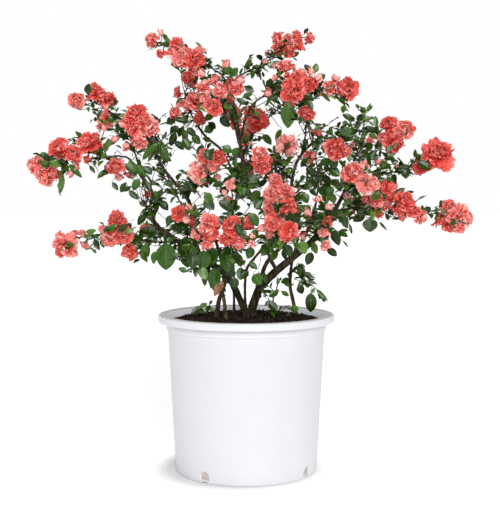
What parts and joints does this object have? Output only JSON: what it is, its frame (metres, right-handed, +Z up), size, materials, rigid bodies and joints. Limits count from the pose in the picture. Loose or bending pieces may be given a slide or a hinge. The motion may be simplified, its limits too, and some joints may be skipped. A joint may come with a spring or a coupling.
{
  "type": "potted flowering shrub",
  "caption": "Open, many-stemmed shrub with coral double blossom and small dark leaves, in a round tapered nursery pot with a flat lip.",
  "frame": {"origin": "middle of the pot's flat underside", "axes": "+Z up along the pot's axis, -Y towards the front, +X to the right as seen from the front"},
  "size_m": [0.6767, 0.4865, 0.7008],
  "materials": {
    "pot": "smooth white moulded plastic with a soft sheen",
    "soil": "dark, damp, broken bark chips",
    "bark": "rough grey-brown bark with pale flecks",
    "foliage": "dark green leaves with a slight gloss, and soft coral petals"
  },
  "bodies": {
    "root": {"pot": "pot", "soil": "soil", "stool": "bark", "left_trunk": "bark", "right_trunk": "bark", "middle_stem": "bark", "left_stem": "bark", "pale_stem": "bark", "right_stem": "bark", "back_stem": "bark", "left_fork": "bark", "inner_left_bough": "bark", "back_left_bough": "bark", "right_inner_bough": "bark", "right_bough": "bark", "back_right_bough": "bark", "front_bough": "bark", "upper_left_bough": "bark", "top_bough": "bark", "right_upper_bough": "bark", "far_left_spray": "foliage", "upper_left_spray": "foliage", "upper_left_flowers": "foliage", "lower_left_spray": "foliage", "left_leaves": "foliage", "left_heart": "foliage", "hanging_leaves": "foliage", "front_left_flowers": "foliage", "front_middle_flowers": "foliage", "left_low_leaves": "foliage", "centre_left_flowers": "foliage", "centre_flowers": "foliage", "top_left_spray": "foliage", "top_left_flowers": "foliage", "top_middle_flowers": "foliage", "top_right_spray": "foliage", "upper_right_flowers": "foliage", "crown_centre": "foliage", "upper_right_spray": "foliage", "right_upper_flowers": "foliage", "right_middle_flowers": "foliage", "leafy_shoot": "foliage", "right_crown_spray": "foliage", "far_right_spray": "foliage", "right_front_flowers": "foliage", "lower_right_spray": "foliage", "right_heart": "foliage", "centre_right_flowers": "foliage", "low_centre_flowers": "foliage", "upper_centre_flowers": "foliage", "right_inner_spray": "foliage", "right_low_leaves": "foliage", "low_shoot": "foliage", "back_crown": "foliage", "back_left_crown": "foliage", "back_left_spray": "foliage", "back_middle_spray": "foliage", "back_right_crown": "foliage", "back_right_spray": "foliage", "back_low_spray": "foliage"}
  },
  "joints": []
}
